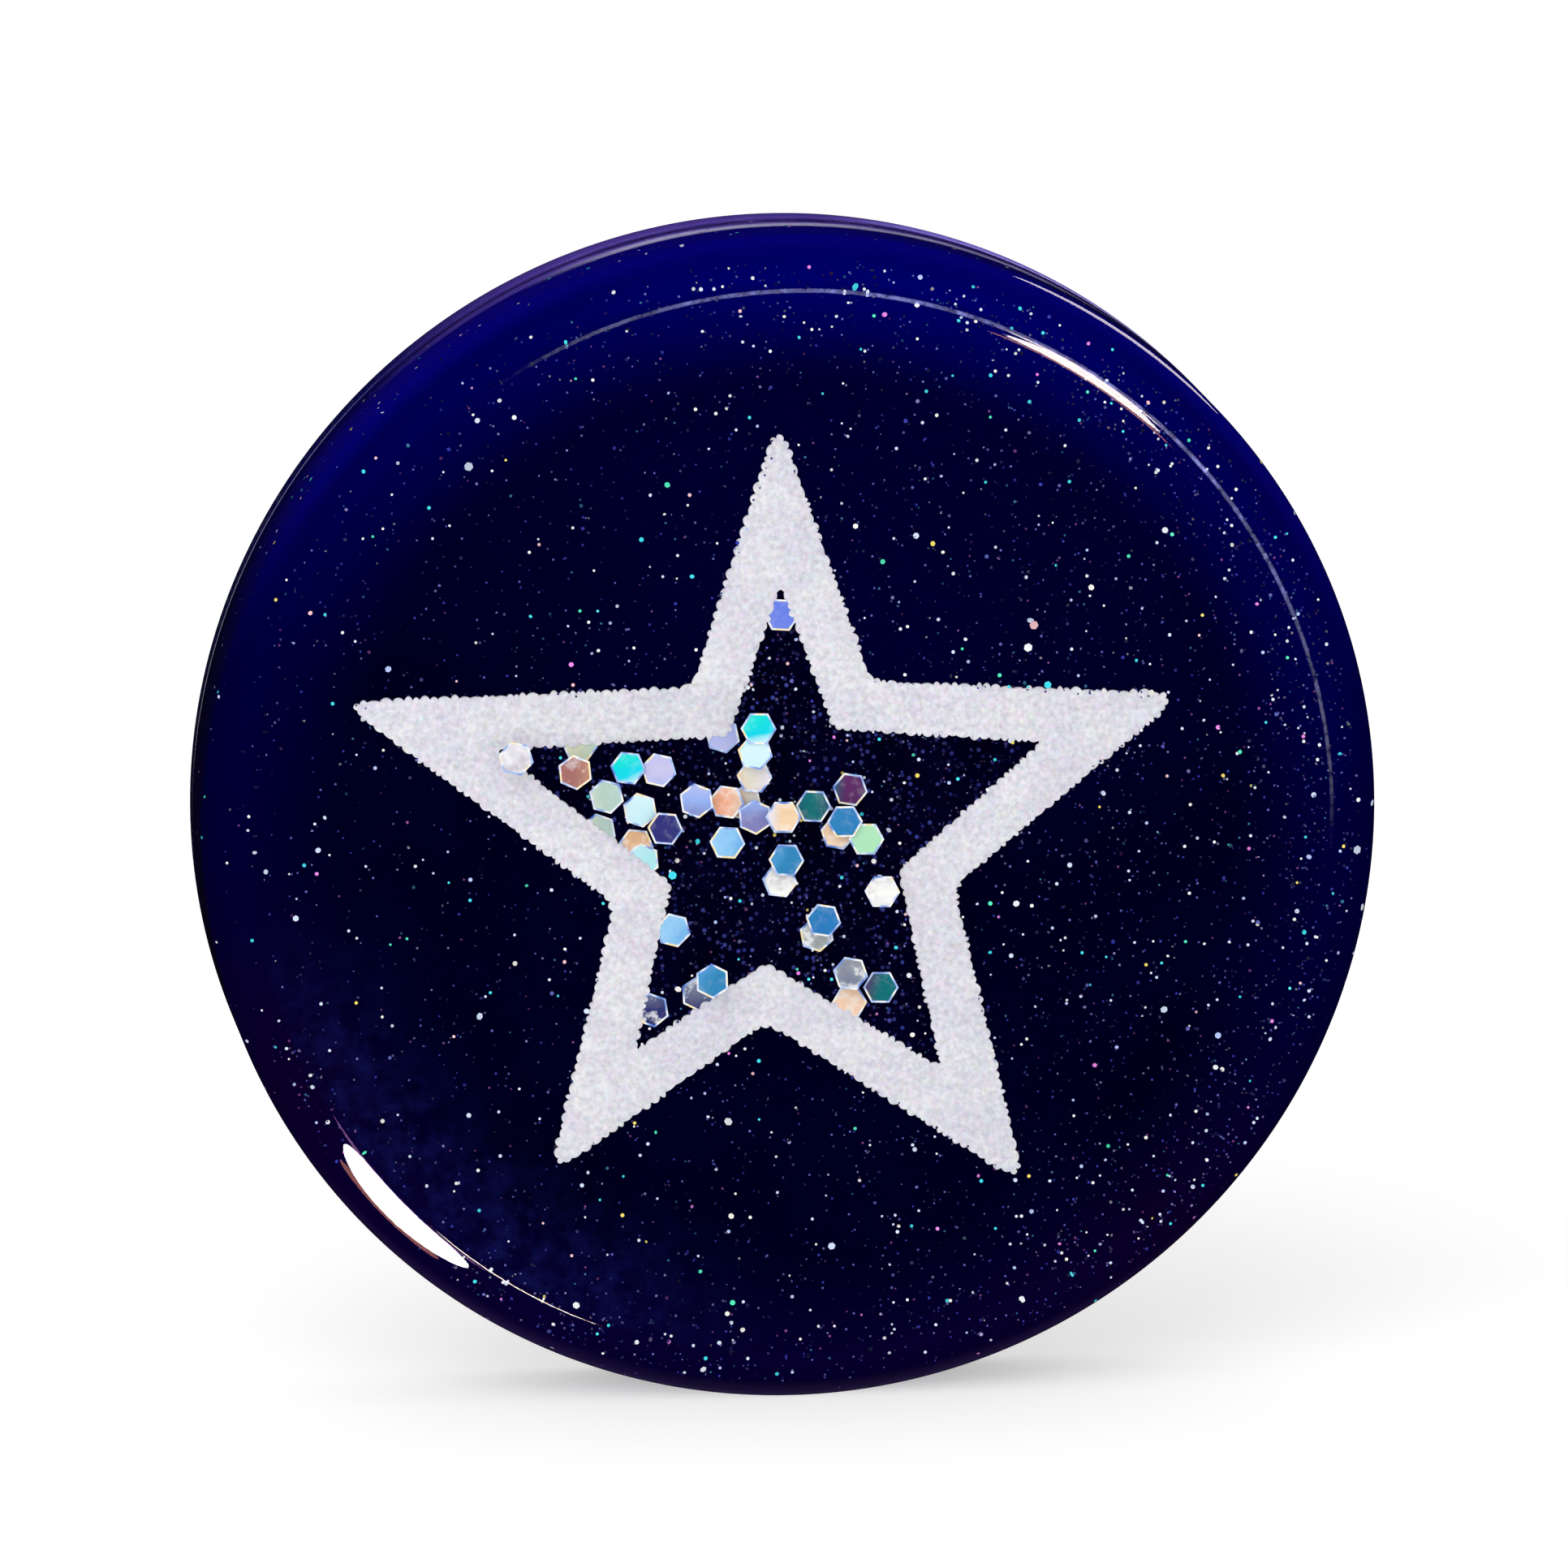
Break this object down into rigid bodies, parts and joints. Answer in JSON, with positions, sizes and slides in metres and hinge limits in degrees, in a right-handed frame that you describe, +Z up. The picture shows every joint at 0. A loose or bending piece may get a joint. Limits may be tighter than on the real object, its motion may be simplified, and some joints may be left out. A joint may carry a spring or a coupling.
{
  "type": "cast resin badge with bar pin",
  "caption": "Round navy cast resin badge with a white glitter star, loose sequins and flakes, and a brooch bar pin with a turning safety catch on its back.",
  "frame": {"origin": "centre of the resin disc on its back face, where the badge bears on the garment", "axes": "+Y out of the back, towards the garment and the pin; the flat front looks along -Y; +Z up as worn, along the star's top point; +X to the right of someone looking at the front"},
  "size_m": [0.038, 0.0117, 0.038],
  "materials": {
    "clear_resin": "clear blue-tinted casting resin, polished",
    "navy_resin": "translucent navy casting resin, polished",
    "dark_resin": "opaque midnight blue casting resin",
    "white_glitter": "frosted white film of very fine glitter",
    "fill_resin": "near-black resin full of fine glitter",
    "sequin_cyan": "iridescent film, cyan",
    "sequin_blue": "iridescent film, blue",
    "sequin_lavender": "iridescent film, lavender",
    "sequin_mint": "iridescent film, pale green",
    "sequin_peach": "iridescent film, peach",
    "sequin_clear": "iridescent film, nearly colourless",
    "sequin_dark": "iridescent film at a dark angle",
    "glitter_silver": "metallised silver flake",
    "glitter_colour": "metallised cyan, gold and pink flake",
    "epoxy": "set epoxy, slightly amber",
    "nickel_strip": "nickel-plated steel strip",
    "rivet_steel": "peened steel",
    "pin_wire": "bright hard-drawn steel wire",
    "rotor_nickel": "nickel-plated, satin"
  },
  "bodies": {
    "badge": {"face_coat": "clear_resin", "navy_casting": "navy_resin", "dark_base": "dark_resin", "star_outline": "white_glitter", "star_fill": "fill_resin", "sequins_cyan": "sequin_cyan", "sequins_blue": "sequin_blue", "sequins_lavender": "sequin_lavender", "sequins_mint": "sequin_mint", "sequins_peach": "sequin_peach", "sequins_clear": "sequin_clear", "sequins_dark": "sequin_dark", "glitter_silver": "glitter_silver", "glitter_colour": "glitter_colour", "adhesive_bed": "epoxy", "pin_bar": "nickel_strip", "hinge_joint": "nickel_strip", "hinge_rivet": "rivet_steel", "catch_housing": "nickel_strip"},
    "pin": {"pin_stem": "pin_wire"},
    "catch": {"catch_rotor": "rotor_nickel"}
  },
  "joints": [
    {"name": "pin_swing", "type": "hinge", "parent": "badge", "child": "pin", "pos_m": [-0.0105, 0.0036, 0.005], "axis": [0, 0, 1], "range_deg": [0, 75]},
    {"name": "catch_turn", "type": "hinge", "parent": "badge", "child": "catch", "pos_m": [0.0106, 0.0036, 0.005], "axis": [1, 0, 0], "range_deg": [0, 100]}
  ]
}
